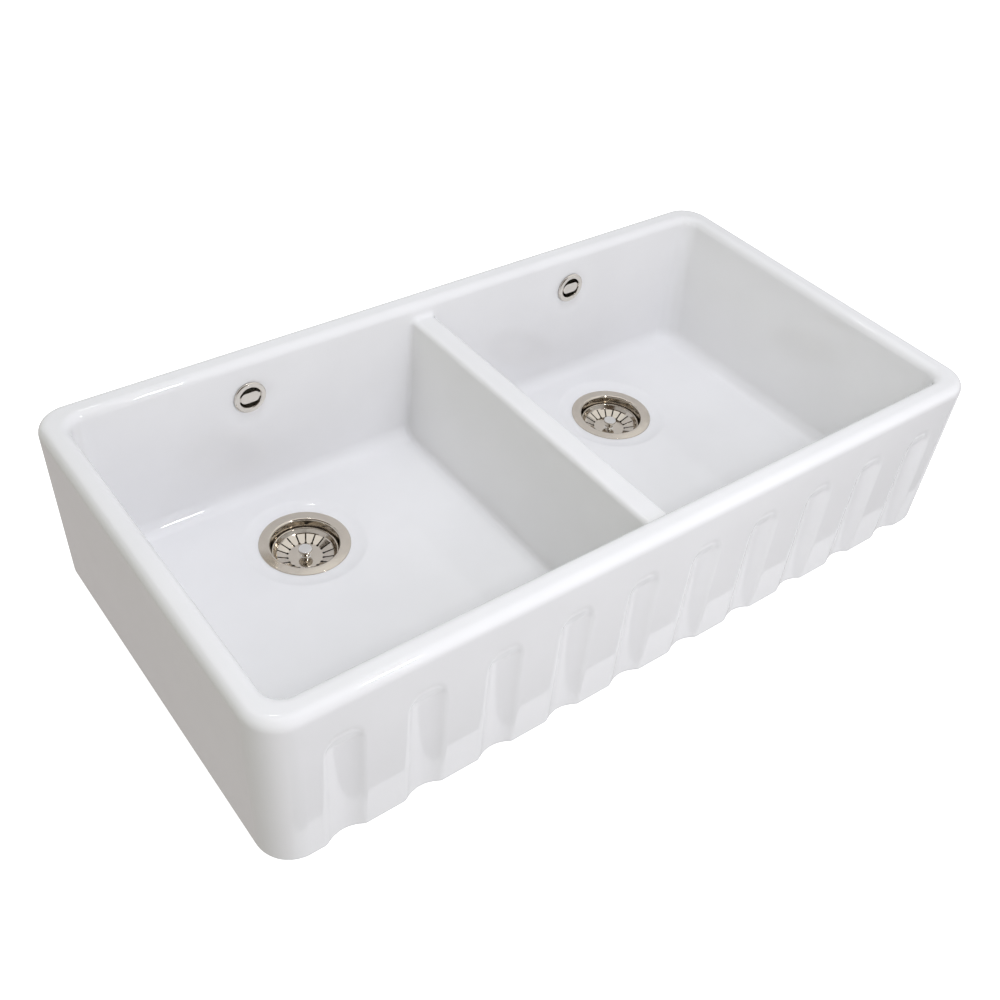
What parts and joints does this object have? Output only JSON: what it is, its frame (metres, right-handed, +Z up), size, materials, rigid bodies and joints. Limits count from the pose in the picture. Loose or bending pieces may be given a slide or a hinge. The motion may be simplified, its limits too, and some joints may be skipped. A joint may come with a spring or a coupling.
{
  "type": "farmhouse apron front sink",
  "caption": "Farmhouse apron front kitchen sink in white fireclay with fluted front, low divider, lift-out basket strainer wastes and round overflows.",
  "frame": {"origin": "middle of the flat underside of the fireclay body", "axes": "+X along the apron to the right, +Y from the apron to the back, +Z up"},
  "size_m": [0.9996, 0.557, 0.288],
  "materials": {
    "fireclay": "gloss white glaze",
    "stainless_sheet": "satin",
    "stainless_bar": "bright turned",
    "chrome": "mirror",
    "brass": "machined",
    "black_rubber": "matt",
    "white_plastic": "moulded",
    "nylon": "moulded"
  },
  "bodies": {
    "sink": {"sink_body": "fireclay", "left_strainer_bowl": "stainless_sheet", "left_flange_seal": "black_rubber", "left_lower_washer": "black_rubber", "left_waste_body": "white_plastic", "left_captive_nut": "brass", "left_centre_screw": "stainless_bar", "left_overflow_ring": "chrome", "left_overflow_gasket": "black_rubber", "left_overflow_washer": "black_rubber", "left_overflow_elbow": "white_plastic", "right_strainer_bowl": "stainless_sheet", "right_flange_seal": "black_rubber", "right_lower_washer": "black_rubber", "right_waste_body": "white_plastic", "right_captive_nut": "brass", "right_centre_screw": "stainless_bar", "right_overflow_ring": "chrome", "right_overflow_gasket": "black_rubber", "right_overflow_washer": "black_rubber", "right_overflow_elbow": "white_plastic"},
    "left_basket_set": {"left_basket": "stainless_sheet", "left_basket_knob": "stainless_bar", "left_basket_seal": "black_rubber", "left_stem_nut": "brass", "left_stem_clip": "nylon"},
    "right_basket_set": {"right_basket": "stainless_sheet", "right_basket_knob": "stainless_bar", "right_basket_seal": "black_rubber", "right_stem_nut": "brass", "right_stem_clip": "nylon"}
  },
  "joints": [
    {"name": "left_basket_lift", "type": "slide", "parent": "sink", "child": "left_basket_set", "axis": [0, 0, 1], "range_m": [0, 0.25]},
    {"name": "right_basket_lift", "type": "slide", "parent": "sink", "child": "right_basket_set", "axis": [0, 0, 1], "range_m": [0, 0.25]}
  ]
}
